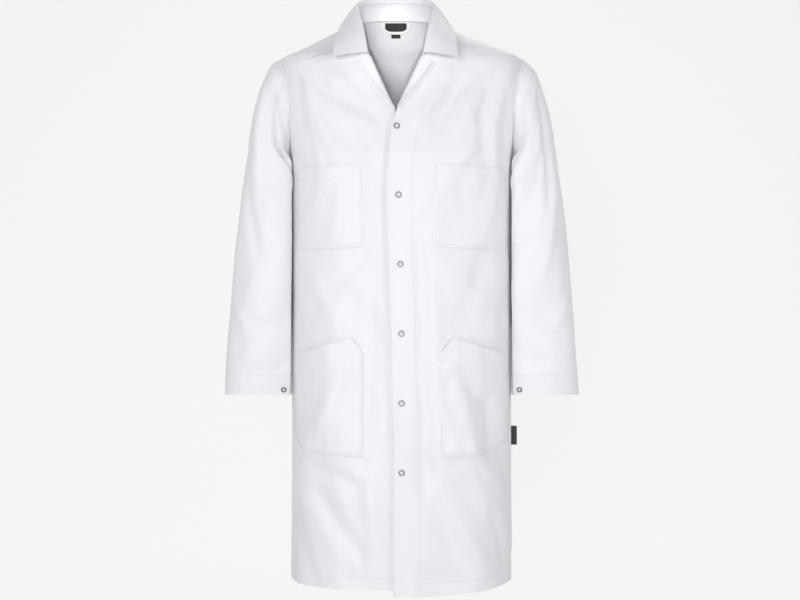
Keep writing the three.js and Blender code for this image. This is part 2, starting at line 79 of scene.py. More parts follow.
def buildRings():
    rows = []
    for share in (0, 0.19, 0.38, 0.57, 0.76, 0.9, 1):
        z = coat["armpit"] * share
        rows.append((z, z, z,
                     coat["halfWidth"] + 3 * mm * (1 - share) ** 2 + 2 * mm * share ** 4,
                     coat["frontDepth"] + 3 * mm * (1 - share) - 5 * mm * share ** 3,
                     coat["backDepth"] + 3 * mm * (1 - share) - 6 * mm * share ** 3,
                     2.4 + 0.4 * share ** 3))
    chest = coat["shoulder"] - coat["armpit"]
    upper = ((0.3, 0.3, 0.3, -6, -13, -12, 3), (0.54, 0.54, 0.54, -1, -22, -17, 3),
             (0.76, 0.76, 0.76, 2, -33, -23, 3), (0.88, 0.9, 0.92, 4, -41, -28, 2.9),
             (0.94, 0.97, 1.05, 3.5, -46, -34, 2.7))
    for front, side, back, wider, frontIn, backIn, power in upper:
        rows.append((coat["armpit"] + chest * side, coat["armpit"] + chest * front,
                     coat["armpit"] + chest * back, coat["shoulderHalf"] + wider * mm,
                     coat["frontDepth"] + frontIn * mm, coat["backDepth"] + backIn * mm, power))
    for share in (0, 0.33, 0.67, 1):
        rise = coat["neckSide"] - coat["shoulder"]
        backStart = coat["shoulder"] + 0.022
        rows.append((coat["shoulder"] + rise * share, coat["shoulder"] - 9 * mm + 10 * mm * share,
                     backStart + (coat["neckBack"] - backStart) * share,
                     coat["shoulderHalf"] + (coat["neckHalf"] - coat["shoulderHalf"]) * share,
                     coat["frontDepth"] - 48 * mm - 14 * mm * share,
                     coat["backDepth"] - 40 * mm - 34 * mm * share, 2.6 - 0.2 * share))
    return np.array(rows)


rings = buildRings()


def ringValue(column, height):
    return np.interp(height, rings[:, 0], rings[:, column])  # columns as buildRings gives them


def bodySurface(angle, height):
    across, ahead = np.sin(angle), np.cos(angle)
    front = ahead > 0
    depth = np.where(front, ringValue(4, height), ringValue(5, height))
    end = np.where(front, ringValue(1, height), ringValue(2, height))
    power = 2 / ringValue(6, height)
    x = ringValue(3, height) * np.sign(across) * np.abs(across) ** power
    y = -depth * np.sign(ahead) * np.abs(ahead) ** power
    z = ringValue(0, height) + (end - ringValue(0, height)) * np.abs(ahead)
    return np.stack([x, y, z], axis=-1)


def backHeightAt(z):  # height along the middle of the back
    probe = np.linspace(0.9, coat["neckSide"], 300)
    return np.interp(z, bodySurface(np.full(300, math.pi), probe)[:, 2], probe)


def bodyNormal(angle, height):
    turn, rise = 0.02, 0.012
    around = bodySurface(angle + turn, height) - bodySurface(angle - turn, height)
    low = np.clip(height - rise, 0, coat["neckSide"] - 2 * rise)
    up = bodySurface(angle, low + 2 * rise) - bodySurface(angle, low)
    normal = np.cross(around, up)
    return normal / np.linalg.norm(normal, axis=-1, keepdims=True)


def angleAt(x, height):
    share = np.clip(np.abs(x) / ringValue(3, height), 0, 1)
    return np.sign(x) * np.arcsin(share ** (ringValue(6, height) / 2))


def onFront(x, z):
    x, z = np.broadcast_arrays(np.asarray(x, float), np.asarray(z, float))
    low, high = np.zeros(x.shape), np.full(x.shape, coat["neckSide"])
    for step in range(26):  # halves the range each time
        middle = (low + high) / 2
        found = bodySurface(angleAt(x, middle), middle)[..., 2]
        low, high = np.where(found < z, middle, low), np.where(found < z, high, middle)
    return angleAt(x, low), low


def seamHeight(x):
    return coat["seamZ"] + coat["seamSlope"] * (np.abs(x) - coat["seamX"])


def settle(points):
    x, z = points[..., 0], points[..., 2]
    middle = 1 - smoothStep(np.abs(x), coat["leanNarrow"], coat["leanWide"])
    moved = points.copy()
    moved[..., 0] += coat["neckLean"] * smoothStep(z, coat["leanFrom"], coat["leanTo"]) * middle
    return moved + home


# folds of the cloth

# each fold runs from one point to another (x, z), with its half width and height in metres
frontFolds = (
    (0.078, 0.33, 0.1, 0.21, 0.02, 0.0052), (0.1, 0.25, 0.19, 0.07, 0.022, 0.0062),
    (0.15, 0.33, 0.176, 0.24, 0.018, -0.0056), (0.04, 0.23, 0.11, 0.04, 0.02, -0.0052),
    (-0.15, 0.12, -0.09, 0.02, 0.022, -0.005), (-0.125, 0.33, -0.165, 0.25, 0.016, 0.0044),
    (-0.15, 0.89, -0.07, 0.8, 0.02, -0.005), (-0.11, 0.93, -0.055, 0.87, 0.012, 0.0036),
    (0.12, 0.94, 0.08, 0.84, 0.018, -0.005), (0.16, 0.9, 0.15, 0.78, 0.014, -0.004),
    (-0.178, 0.935, -0.085, 0.872, 0.013, -0.0042), (-0.1, 0.905, -0.03, 0.846, 0.011, -0.0038),
    (-0.196, 0.935, -0.178, 0.85, 0.01, -0.0045), (-0.16, 0.905, -0.06, 0.842, 0.014, 0.0028),
    (-0.12, 0.86, -0.03, 0.79, 0.016, 0.0024), (-0.186, 0.85, -0.12, 0.77, 0.014, -0.0022),
    (0.15, 0.945, 0.066, 0.855, 0.014, -0.0048), (0.178, 0.922, 0.142, 0.815, 0.014, -0.0046),
    (0.11, 0.905, 0.05, 0.812, 0.018, -0.0042), (0.176, 0.87, 0.112, 0.772, 0.013, 0.0034),
    (0.09, 0.9, 0.04, 0.85, 0.011, 0.0036), (0.196, 0.905, 0.19, 0.8, 0.01, -0.004),
    (0.034, 0.62, 0.04, 0.17, 0.012, -0.0032), (0.058, 0.56, 0.07, 0.2, 0.014, 0.0026),
    (0.09, 0.4, 0.128, 0.25, 0.016, 0.005), (0.128, 0.25, 0.182, 0.17, 0.015, 0.0046),
    (0.1, 0.385, 0.172, 0.315, 0.014, -0.004), (0.094, 0.22, 0.16, 0.112, 0.016, -0.0052),
    (0.062, 0.18, 0.15, 0.036, 0.017, 0.0056), (0.02, 0.04, 0.112, 0.014, 0.016, -0.004),
    (0.165, 0.13, 0.196, 0.02, 0.013, -0.0046), (0.15, 0.6, 0.11, 0.48, 0.018, -0.003),
    (0.06, 0.6, 0.15, 0.52, 0.018, 0.0026), (0.185, 0.585, 0.165, 0.455, 0.014, 0.003),
    (-0.106, 0.395, -0.148, 0.3, 0.016, 0.0048), (-0.165, 0.222, -0.082, 0.184, 0.015, -0.0048),
    (-0.184, 0.17, -0.11, 0.05, 0.018, 0.0052), (-0.15, 0.178, -0.078, 0.062, 0.015, -0.0046),
    (-0.06, 0.2, -0.04, 0.03, 0.018, 0.0036), (-0.07, 0.6, -0.15, 0.51, 0.018, -0.0028),
    (-0.18, 0.6, -0.12, 0.47, 0.018, 0.0028), (-0.05, 0.56, -0.062, 0.3, 0.016, -0.0024),
    (-0.19, 0.11, -0.16, 0.01, 0.014, -0.0044), (-0.09, 0.52, -0.11, 0.33, 0.018, -0.0026),
    (0.12, 0.735, 0.09, 0.63, 0.02, -0.0022), (-0.12, 0.74, -0.15, 0.64, 0.02, -0.0022),
)
backFolds = (
    (-0.15, 0.915, -0.06, 0.8, 0.018, -0.0046), (0.15, 0.915, 0.06, 0.8, 0.018, -0.0046),
    (-0.175, 0.86, -0.1, 0.7, 0.02, 0.0044), (0.175, 0.86, 0.1, 0.7, 0.02, 0.0044),
    (0.0, 0.9, 0.01, 0.5, 0.024, -0.004), (-0.08, 0.64, -0.1, 0.08, 0.024, -0.006),
    (0.085, 0.62, 0.1, 0.06, 0.024, -0.006), (-0.03, 0.52, -0.04, 0.02, 0.022, 0.0056),
    (0.04, 0.5, 0.05, 0.01, 0.022, 0.005), (-0.15, 0.56, -0.16, 0.04, 0.022, 0.0052),
    (0.15, 0.56, 0.16, 0.04, 0.022, 0.0052), (-0.12, 0.42, -0.13, 0.02, 0.016, -0.005),
    (0.126, 0.4, 0.134, 0.02, 0.016, -0.005), (0.006, 0.3, 0.008, 0.01, 0.016, -0.005),
)


def strokeHeight(x, z, folds):
    total = np.zeros(x.shape)
    for x0, z0, x1, z1, width, height in folds:
        along = np.array([x1 - x0, z1 - z0])
        length = np.hypot(*along)
        share = np.clip(((x - x0) * along[0] + (z - z0) * along[1]) / length ** 2, 0, 1)
        away = np.hypot(x - x0 - share * along[0], z - z0 - share * along[1])
        bow = 0.7 + 0.3 * np.sin(math.pi * share)
        total += 1.2 * height * bow * np.exp(-((away / width) ** 2))
    return total


def ripple(u, v, seed, count, longest, shortest, stretch):
    draw = np.random.default_rng(seed)
    total = np.zeros(np.shape(u))
    bendU = 0.03 * np.sin(v * 17 + seed) + 0.02 * np.sin(u * 23 + v * 11)
    for i in range(count):
        wave = longest * (shortest / longest) ** (i / max(1, count - 1))
        tilt = draw.uniform(-0.5, 0.5)
        phase = draw.uniform(0, 2 * math.pi)
        share = (u + bendU) * math.cos(tilt) + v / stretch * math.sin(tilt)
        total += wave * np.sin(2 * math.pi * share / wave + phase + 2 * np.sin(v * 9 + phase))
    return total / longest / count


def foldHeight(angle, height):
    point = bodySurface(angle, height)
    front = smoothStep(np.cos(angle), -0.12, 0.12)
    strokes = strokeHeight(point[..., 0], point[..., 2], frontFolds) * front
    strokes += strokeHeight(point[..., 0], point[..., 2], backFolds) * (1 - front)
    around = angle * 0.19
    soft = 0.0046 * ripple(around, height, 4, 7, 0.16, 0.035, 3.0)
    fine = 0.0006 * ripple(around * 0.8 + height * 0.4, height, 9, 6, 0.05, 0.014, 1.6)
    hem = 0.0022 * np.sin(around * 62 + 1.3 * np.sin(around * 21)) * smoothStep(-height, -0.20, 0.0)
    calm = smoothStep(-height, -1.035, -0.985)
    fromRim = np.hypot(point[..., 1] / coat["armDepth"], (point[..., 2] - armMiddle) / armHalf) - 1
    rim = fromRim * coat["armDepth"]
    calm = calm * (1 - np.exp(-((rim / 0.014) ** 2)) * (np.abs(point[..., 0]) > 0.15))
    placket = 1 - 0.7 * np.exp(-((point[..., 0] + 0.006) / 0.03) ** 2) * front
    lift = (strokes + soft + fine + hem) * calm * placket
    fromSide = np.abs(np.abs(np.arctan2(np.sin(angle), np.cos(angle))) - math.pi / 2)
    side = np.exp(-((fromSide / 0.42) ** 2))
    return lift * (1 - side) + np.minimum(lift, 0.0004) * 0.6 * side


def place(angle, height, offset, dip=0.0, drop=0.0):
    angle, height = np.broadcast_arrays(np.asarray(angle, float), np.asarray(height, float))
    point = bodySurface(angle, height)
    sunk = (1 - smoothStep(np.abs(point[..., 0]) / coat["halfWidth"], 0.33, 0.6)) * (np.cos(angle) > 0)
    sunk = sunk * (1 - smoothStep(point[..., 2], coat["breakHeight"] + 0.02, coat["gorge"][1]))
    lift = offset + foldHeight(angle, height) - dip * sunk
    moved = point + bodyNormal(angle, height) * np.asarray(lift)[..., None]
    fall = np.clip(1 - height / 0.15, 0, 1) * np.maximum(0, np.cos(angle)) ** 2
    moved[..., 2] -= drop * fall
    return settle(moved)


# materials


def newGroup(name, inputs, outputs):
    tree = bpy.data.node_groups.new(name, "ShaderNodeTree")
    for label, kind, value in inputs:
        socket = tree.interface.new_socket(name=label, in_out="INPUT", socket_type=kind)
        socket.default_value = value
    for label, kind in outputs:
        tree.interface.new_socket(name=label, in_out="OUTPUT", socket_type=kind)
    return tree, tree.nodes.new("NodeGroupInput"), tree.nodes.new("NodeGroupOutput")


def twillGroup():
    inputs = (("Threads per metre", "NodeSocketFloat", 900.0), ("Slub", "NodeSocketFloat", 0.35))
    outputs = (("Height", "NodeSocketFloat"), ("Shade", "NodeSocketFloat"))
    tree, start, end = newGroup("twillWeave", inputs, outputs)
    nodes, links = tree.nodes, tree.links
    uv = nodes.new("ShaderNodeUVMap")
    uv.uv_map = "cloth"
    scale = nodes.new("ShaderNodeVectorMath")
    scale.operation = "SCALE"
    links.new(uv.outputs[0], scale.inputs[0])
    links.new(start.outputs[0], scale.inputs[3])
    wave = nodes.new("ShaderNodeTexWave")
    wave.bands_direction = "DIAGONAL"
    wave.inputs["Scale"].default_value = 0.32
    wave.inputs["Distortion"].default_value = 0.6
    wave.inputs["Detail"].default_value = 1.0
    links.new(scale.outputs[0], wave.inputs[0])
    slub = nodes.new("ShaderNodeTexNoise")
    slub.inputs["Scale"].default_value = 0.35
    slub.inputs["Detail"].default_value = 4.0
    links.new(scale.outputs[0], slub.inputs[0])
    mix = nodes.new("ShaderNodeMath")
    mix.operation = "MULTIPLY_ADD"
    links.new(slub.outputs[0], mix.inputs[0])
    links.new(start.outputs[1], mix.inputs[1])
    links.new(wave.outputs["Fac"], mix.inputs[2])
    links.new(mix.outputs[0], end.inputs[0])
    links.new(slub.outputs[0], end.inputs[1])
    return tree


twillWeave = twillGroup()


def clothMaterial(name, colours, roughness, sheen, threads, weaveDepth):
    material = bpy.data.materials.new(name)
    material.use_nodes = True
    nodes, links = material.node_tree.nodes, material.node_tree.links
    shader = nodes["Principled BSDF"]
    weave = nodes.new("ShaderNodeGroup")
    weave.node_tree = twillWeave
    weave.inputs[0].default_value = threads
    weave.inputs[1].default_value = 0.35
    ramp = nodes.new("ShaderNodeValToRGB")
    ramp.color_ramp.elements[0].position, ramp.color_ramp.elements[1].position = 0.32, 0.68
    ramp.color_ramp.elements[0].color, ramp.color_ramp.elements[1].color = colours
    links.new(weave.outputs["Shade"], ramp.inputs[0])
    links.new(ramp.outputs[0], shader.inputs["Base Color"])
    rough = nodes.new("ShaderNodeMapRange")
    rough.inputs["To Min"].default_value = roughness - 0.06
    rough.inputs["To Max"].default_value = roughness + 0.08
    links.new(weave.outputs["Shade"], rough.inputs[0])
    links.new(rough.outputs[0], shader.inputs["Roughness"])
    bump = nodes.new("ShaderNodeBump")
    bump.inputs["Strength"].default_value = 0.35
    bump.inputs["Distance"].default_value = weaveDepth
    links.new(weave.outputs["Height"], bump.inputs["Height"])
    links.new(bump.outputs[0], shader.inputs["Normal"])
    shader.inputs["Sheen Weight"].default_value = sheen
    shader.inputs["Sheen Roughness"].default_value = 0.4
    shader.inputs["Specular IOR Level"].default_value = 0.5
    return material


# name, two colours, roughness, sheen, threads per metre, depth of the weave
twill = clothMaterial("whiteTwill", ((0.815, 0.822, 0.843, 1), (0.845, 0.851, 0.870, 1)),
                      0.46, 0.06, 900.0, 0.00025)
# the stitch thread is white; these grey colours are painted shade for the shadow in the sunken stitch
# channel
threadPaintedShade = clothMaterial("stitchThreadPaintedShade", ((0.50, 0.51, 0.55, 1), (0.58, 0.59, 0.63, 1)),
                       0.6, 0.2, 2600.0, 0.0001)
tape = clothMaterial("loopTape", ((0.80, 0.80, 0.81, 1), (0.86, 0.86, 0.87, 1)),
                     0.6, 0.2, 1500.0, 0.0003)
labelCloth = clothMaterial("blackLabel", ((0.010, 0.010, 0.012, 1), (0.022, 0.022, 0.025, 1)),
                           0.5, 0.05, 1800.0, 0.0002)


def steelMaterial(name, shade, roughness):
    material = bpy.data.materials.new(name)
    material.use_nodes = True
    nodes, links = material.node_tree.nodes, material.node_tree.links
    shader = nodes["Principled BSDF"]
    where = nodes.new("ShaderNodeTexCoord")
    brushed = nodes.new("ShaderNodeTexNoise")
    brushed.inputs["Scale"].default_value = 2400
    brushed.inputs["Detail"].default_value = 3
    links.new(where.outputs["Object"], brushed.inputs[0])
    ramp = nodes.new("ShaderNodeValToRGB")
    ramp.color_ramp.elements[0].color = (shade * 0.75, shade * 0.76, shade * 0.78, 1)
    ramp.color_ramp.elements[1].color = (shade, shade, shade * 1.02, 1)
    links.new(brushed.outputs["Fac"], ramp.inputs[0])
    links.new(ramp.outputs[0], shader.inputs["Base Color"])
    rough = nodes.new("ShaderNodeMapRange")
    rough.inputs["To Min"].default_value = roughness - 0.08
    rough.inputs["To Max"].default_value = roughness + 0.1
    links.new(brushed.outputs["Fac"], rough.inputs[0])
    links.new(rough.outputs[0], shader.inputs["Roughness"])
    shader.inputs["Metallic"].default_value = 1
    return material


snapSteel = steelMaterial("snapSteel", 0.34, 0.34)
cuffSteel = steelMaterial("cuffSnapSteel", 0.16, 0.36)

# how the pieces move


def moveWith(piece, body):
    if body == "coat_body":
        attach(piece, body)
    else:
        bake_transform(piece)


# sheets of cloth


def meshFrom(name, points, faces, material, uvs=None):
    mesh = bpy.data.meshes.new(name)
    mesh.from_pydata([tuple(point) for point in points], [], faces)
    if uvs is not None:
        layer = mesh.uv_layers.new(name="cloth")
        for loop in mesh.loops:
            layer.data[loop.index].uv = uvs[loop.vertex_index]
    mesh.materials.append(material)
    piece = bpy.data.objects.new(name, mesh)
    bpy.context.collection.objects.link(piece)
    return piece


def only(piece):
    bpy.ops.object.select_all(action="DESELECT")
    piece.select_set(True)
    bpy.context.view_layer.objects.active = piece


def clothLengths(grid):
    along = np.linalg.norm(np.diff(grid, axis=1), axis=2)
    up = np.linalg.norm(np.diff(grid, axis=0), axis=2)
    u = np.concatenate([np.zeros((grid.shape[0], 1)), np.cumsum(along, axis=1)], axis=1)
    v = np.concatenate([np.zeros((1, grid.shape[1])), np.cumsum(up, axis=0)], axis=0)
    return u - u[:, u.shape[1] // 2: u.shape[1] // 2 + 1], v


def facingOut(grid, mirror):
    return grid if mirror > 0 else grid[:, ::-1]


def makeSheet(name, grid, body, nodes, material=None, thick=0.0010,
              closed=False):
    material = material or twill
    rows, columns = grid.shape[:2]
    u, v = clothLengths(grid)
    spans = columns if closed else columns - 1
    faces = [(r * columns + c, r * columns + (c + 1) % columns,
              (r + 1) * columns + (c + 1) % columns, (r + 1) * columns + c)
             for r in range(rows - 1) for c in range(spans)]
    uvs = np.stack([u.ravel(), v.ravel()], axis=1)
    piece = meshFrom(name, grid.reshape(-1, 3), faces, material, uvs)
    only(piece)
    solidify = piece.modifiers.new("thickness", "SOLIDIFY")
    solidify.thickness, solidify.offset = thick, -1
    bpy.ops.object.modifier_apply(modifier="thickness")
    bpy.ops.object.shade_smooth_by_angle(angle=math.radians(50))
    moveWith(piece, body)
    if nodes:
        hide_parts(*nodes)
    return piece


stitchRuns = {}
stitchFaces = ((0, 1, 2), (0, 2, 3), (4, 2, 1), (4, 3, 2), (0, 5, 1), (0, 3, 5), (4, 1, 5), (4, 5, 3))


def stitch(body, points, normals, pitch=0.0034, thick=0.00034):
    points, normals = np.asarray(points), np.asarray(normals)
    steps = np.linalg.norm(np.diff(points, axis=0), axis=1)
    travel = np.concatenate([[0], np.cumsum(steps)])
    count = max(2, int(travel[-1] / pitch))
    run = stitchRuns.setdefault(body, ([], []))
    for i in range(count):
        ends = [(i + share) * travel[-1] / count for share in (0.16, 0.84)]
        a, b = (np.array([np.interp(end, travel, points[:, k]) for k in range(3)]) for end in ends)
        up = np.array([np.interp(ends[0], travel, normals[:, k]) for k in range(3)])
        up /= np.linalg.norm(up)
        forward = (b - a) / max(1e-9, np.linalg.norm(b - a))
        side = np.cross(up, forward)
        middle = (a + b) / 2 + up * thick
        base = len(run[0])
        run[0].extend([a, middle - side * thick, middle + up * thick * 0.5, middle + side * thick, b,
                       middle - up * thick * 1.6])
        run[1].extend(tuple(base + corner for corner in face) for face in stitchFaces)


def stitchOnBody(body, angle, height, offset, dip=0.0, drop=0.0, pitch=0.0034):
    angle, height = np.broadcast_arrays(np.asarray(angle, float), np.asarray(height, float))
    stitch(body, place(angle, height, offset, dip, drop), bodyNormal(angle, height), pitch)


def stitchOnFront(body, x, z, offset, dip=0.0, drop=0.0):
    x, z = np.asarray(x, float), np.asarray(z, float)
    share = np.linspace(0, len(x) - 1, 40 * (len(x) - 1) + 1)
    corner = np.arange(len(x))
    angle, height = onFront(np.interp(share, corner, x), np.interp(share, corner, z))
    stitchOnBody(body, angle, height, offset, dip, drop)


# body panels

panel = {
    "rows": 190, "columns": 64, "offset": 0.0016, "edgeRise": 0.0007, "edgeRoll": 0.0012,
    "facingOffset": -0.0004, "facingThick": 0.0008, "edgeStitch": 0.0055, "facingStitch": 0.046,
    "hem": 0.023, "hemStitch": 0.022,
}
underDip = 0.007  # how far the right front lies under the left one


def armholeLine(height, side):
    y = coat["armDepth"] * np.sqrt(np.clip(1 - ((height - armMiddle) / armHalf) ** 2, 0, 1))
    column = 4 if side == "front" else 5
    return np.arccos(np.clip(y / ringValue(column, height), 0, 1) ** (ringValue(6, height) / 2))


def sideAngle(height, side):
    return np.where(height < coat["armpit"], math.pi / 2, armholeLine(height, side))


def frontEdgeX(z, edge, breakX):
    gorgeX, gorgeZ = coat["gorge"]
    top = coat["breakHeight"]
    heights = [-0.06, top - 0.62, top - 0.47, top - 0.27, top - 0.13, top - 0.06, top - 0.026,
               top, gorgeZ, float(seamHeight(coat["yokeNeck"]))]
    places = [edge + 0.002, edge + 0.002, edge - 0.003, edge - 0.006, edge - 0.005,
              breakX + (edge - breakX) * 0.8, breakX + (edge - breakX) * 0.45, breakX,
              gorgeX, coat["yokeNeck"]]
    return np.interp(z, heights, places)


def frontGrid(edge, breakX, mirror):
    shares = np.linspace(0, 1, panel["rows"])
    innerZ = shares * seamHeight(coat["yokeNeck"])
    end = coat["seamEnd"]
    outerTop = onFront(np.array([end]), np.array([seamHeight(end)]))[1][0]
    outerHeight = shares * outerTop
    innerAngle, innerHeight = onFront(frontEdgeX(innerZ, edge, breakX), innerZ)
    outerAngle = sideAngle(outerHeight, "front")
    across = np.linspace(0, 1, panel["columns"])[None, :] ** 1.5
    angle = innerAngle[:, None] * (1 - across) + outerAngle[:, None] * across
    height = innerHeight[:, None] * (1 - across) + outerHeight[:, None] * across
    return angle * mirror, height


def seamOnFront(count, low, high):
    x = np.linspace(low, high, count)
    return onFront(x, seamHeight(x))


def makeFronts():
    sides = (("left", 1, -0.017, 0.002, 0.0, coat["hemDrop"]),
             ("right", -1, -0.011, 0.002, underDip, 0.0))
    for side, mirror, edge, breakX, dip, drop in sides:
        body = side + "_front"
        angle, height = frontGrid(edge, breakX, mirror)
        middle = bodySurface(angle, height)[..., 0]
        away = np.abs(middle - middle[:, :1])
        rise = panel["edgeRise"] * np.exp(-((away - 0.0045) / 0.003) ** 2)
        roll = panel["edgeRoll"] * np.exp(-((away / 0.0018) ** 2))
        grid = place(angle, height, panel["offset"] + rise - roll, dip, drop)
        makeSheet(side + "FrontPanel", facingOut(grid, mirror), body, [side + "_front_panel"])
        z = np.linspace(-0.002, coat["breakHeight"] - 0.004, 120)
        line = frontEdgeX(z, edge, breakX)
        stitchOnFront(body, mirror * (line + panel["edgeStitch"]), z, panel["offset"], dip, drop)
        if side == "left":
            stitchOnFront(body, line + panel["facingStitch"], z, panel["offset"], dip, drop)
        around = np.linspace(0.06, 1.52, 120) * mirror
        stitchOnBody(body, around, np.full(120, panel["hemStitch"]), panel["offset"], dip, drop)
        makeFacing(side, mirror, edge, breakX, dip, drop)
    print("fronts made")


def makeFacing(side, mirror, edge, breakX, dip, drop):
    body = side + "_front"
    reach = 0.05 if side == "left" else 0.054
    z = np.linspace(0, coat["breakHeight"] - 0.012, 120)
    inner = frontEdgeX(z, edge, breakX)
    across = np.linspace(0, 1, 14)[None, :]
    end = edge + reach
    x = (inner + 0.0008)[:, None] * (1 - across) + end * across
    angle, height = onFront(x, np.broadcast_to(z[:, None], x.shape))
    grid = place(angle * mirror, height, panel["facingOffset"], dip, drop)
    makeSheet(side + "Facing", facingOut(grid, mirror), body, [side + "_facing"],
              thick=panel["facingThick"])
    rows = np.linspace(0, panel["hem"], 6)[:, None]
    around = np.linspace(angle[0, -1] + 0.01, math.pi / 2, 60)[None, :]
    grid = place(np.broadcast_to(around, (6, 60)) * mirror, np.broadcast_to(rows, (6, 60)),
                 panel["facingOffset"], dip, drop)
    makeSheet(side + "FrontHem", facingOut(grid, mirror), body, [side + "_front_hem"],
              thick=panel["facingThick"])


def makeBack():
    top = coat["backYoke"]
    heights = np.linspace(0, 1, panel["rows"])
    probe = np.linspace(0, coat["neckSide"], 400)
    backTop = np.interp(top, bodySurface(np.full(400, math.pi), probe)[:, 2], probe)
    cornerZ = bodySurface(math.pi - armholeLine(probe, "back"), probe)[:, 2]
    cornerTop = np.interp(top, cornerZ, probe)
    across = np.linspace(-1, 1, 120)[None, :]
    sideHeight = heights * cornerTop
    middleHeight = heights * backTop
    share = np.abs(across)
    height = middleHeight[:, None] * (1 - share) + sideHeight[:, None] * share
    reach = sideAngle(sideHeight, "back")
    angle = math.pi + across * reach[:, None]
    makeSheet("backPanel", place(angle, height, panel["offset"]), "coat_body", ["back_panel"])
    rows = np.linspace(0, panel["hem"], 6)[:, None]
    around = np.linspace(math.pi / 2, 1.5 * math.pi, 120)[None, :]
    grid = place(np.broadcast_to(around, (6, 120)), np.broadcast_to(rows, (6, 120)),
                 panel["facingOffset"])
    makeSheet("backHem", grid, "coat_body", ["back_hem"], thick=panel["facingThick"])
    stitchOnBody("coat_body", around[0], np.full(120, panel["hemStitch"]), panel["offset"])
    makeYoke(cornerTop, backTop)
    print("back made")


def makeYoke(cornerTop, backTop):
    first, armCount, backCount = 26, 34, 30  # points along the front seam, armhole and back seam
    seamAngle, seamH = seamOnFront(first, coat["yokeNeck"], coat["seamEnd"])
    topH = coat["shoulder"] - 0.0015
    fore = np.linspace(seamH[-1], topH, 17)
    aft = np.linspace(topH, cornerTop, 17)
    armH = np.concatenate([fore, aft])
    armAngle = np.concatenate([armholeLine(fore, "front"), math.pi - armholeLine(aft, "back")])
    backAngle = np.linspace(armAngle[-1], math.pi, backCount)
    backH = np.linspace(cornerTop, backTop, backCount)
    outAngle = np.concatenate([seamAngle, armAngle[1:], backAngle[1:]])
    outH = np.concatenate([seamH, armH[1:], backH[1:]])
    neckH = coat["neckSide"]
    neckStart, neckSide = math.radians(66), math.radians(120)
    climb = np.linspace(0, 1, first)
    inAngle = np.concatenate([seamAngle[0] + (neckStart - seamAngle[0]) * climb,
                              np.linspace(neckStart, neckSide, armCount)[1:],
                              np.linspace(neckSide, math.pi, backCount)[1:]])
    inH = np.concatenate([seamH[0] + (neckH - seamH[0]) * climb ** 0.8,
                          np.full(armCount + backCount - 2, neckH)])
    rows = np.linspace(0, 1, 30)[:, None]
    halfAngle = outAngle[None, :] * (1 - rows) + inAngle[None, :] * rows
    halfH = outH[None, :] * (1 - rows) + inH[None, :] * rows
    angle = np.concatenate([halfAngle, 2 * math.pi - halfAngle[:, -2::-1]], axis=1)
    height = np.concatenate([halfH, halfH[:, -2::-1]], axis=1)
    offset = panel["offset"] + 0.0002
    makeSheet("backYoke", place(angle, height, offset), "coat_body", ["back_yoke"])
    for inset in (0.05, 0.11):
        lineAngle = (outAngle * (1 - inset) + inAngle * inset)
        lineH = outH * (1 - inset) + inH * inset
        for part in (slice(1, 26), slice(59, None)):
            for mirror in (1, -1):
                stitchOnBody("coat_body", lineAngle[part] * mirror, lineH[part], offset)
    rows = np.linspace(0, 1, 18)[:, None]
    half = 0.074
    turn = np.linspace(-1, 1, 44)[None, :]
    lowZ = coat["neckBack"] - 0.014 - 0.047 * np.sqrt(np.clip(1 - turn ** 2, 0, 1))
    lowH = backHeightAt(lowZ)
    height = lowH * (1 - rows) + coat["neckSide"] * rows
    x = half * turn * np.ones_like(rows)
    angle = math.pi - angleAt(x, height)
    grid = place(angle, height, panel["facingOffset"])
    makeSheet("neckFacing", grid[:, ::-1], "coat_body", ["neck_facing"], thick=panel["facingThick"])


makeBack()
makeFronts()

# pockets and lapels

chestPocket = {"inner": 0.064, "outer": 0.192, "bottom": 0.611, "top": 0.765, "slant": 0.005,
               "offset": 0.0034, "gape": 0.0026}
hipPocket = {"inner": 0.068, "outer": 0.196, "bottom": 0.237, "inTop": 0.426, "peak": 0.453,
             "peakX": 0.092, "outTop": 0.420, "offset": 0.0034, "gape": 0.0054}


def pocketSheet(side, kind, pocket, mirror, lowLine, highLine, dip):
    body = side + "_front"
    inner, outer, offset, gape = (pocket[key] for key in ("inner", "outer", "offset", "gape"))
    across = np.linspace(0, 1, 44)[None, :]
    up = np.linspace(0, 1, 60)[:, None]
    x = inner + (outer - inner) * across
    low, high = np.interp(x, *lowLine), np.interp(x, *highLine)
    z = low * (1 - up) + high * up
    edge = np.minimum(np.minimum(across, 1 - across) * 9, up * 12)
    belly = offset * np.clip(edge + 0.55, 0, 1)
    belly = belly + gape * np.sin(math.pi * across) * smoothStep(up, 0.45, 1)
    belly = belly + 0.0007 * np.sin(across * 19 + up * 5) * np.sin(math.pi * across) * up
    angle, height = onFront(x + 0 * up, z)
    grid = place(angle * mirror, height, belly, dip)
    makeSheet(side + kind + "Pocket", facingOut(grid, mirror), body,
              [side + "_" + kind.lower() + "_pocket"], thick=0.0011)
    rim = offset * 0.95
    for gap in (0.0025, 0.0075):  # two rows of stitches
        for x, low, high in ((inner + gap, inner, inner + gap), (outer - gap, outer - gap, outer)):
            low, high = float(np.interp(low, *lowLine)), float(np.interp(high, *highLine))
            sides = np.linspace(low + gap, high - 0.003, 40)
            stitchOnFront(body, np.full(40, mirror * x), sides, rim, dip)
        spots = np.linspace(inner + gap, outer - gap, 40)
        stitchOnFront(body, mirror * spots, np.interp(spots, *lowLine) + gap, rim, dip)
    spots = np.linspace(inner + 0.004, outer - 0.004, 60)
    share = (spots - inner) / (outer - inner)
    for fall in (0.0025, 0.020):
        angle, height = onFront(spots, np.interp(spots, *highLine) - fall)
        lift = offset + gape * np.sin(math.pi * share) * (1 - fall * 14)
        stitchOnBody(body, angle * mirror, height, lift, dip)


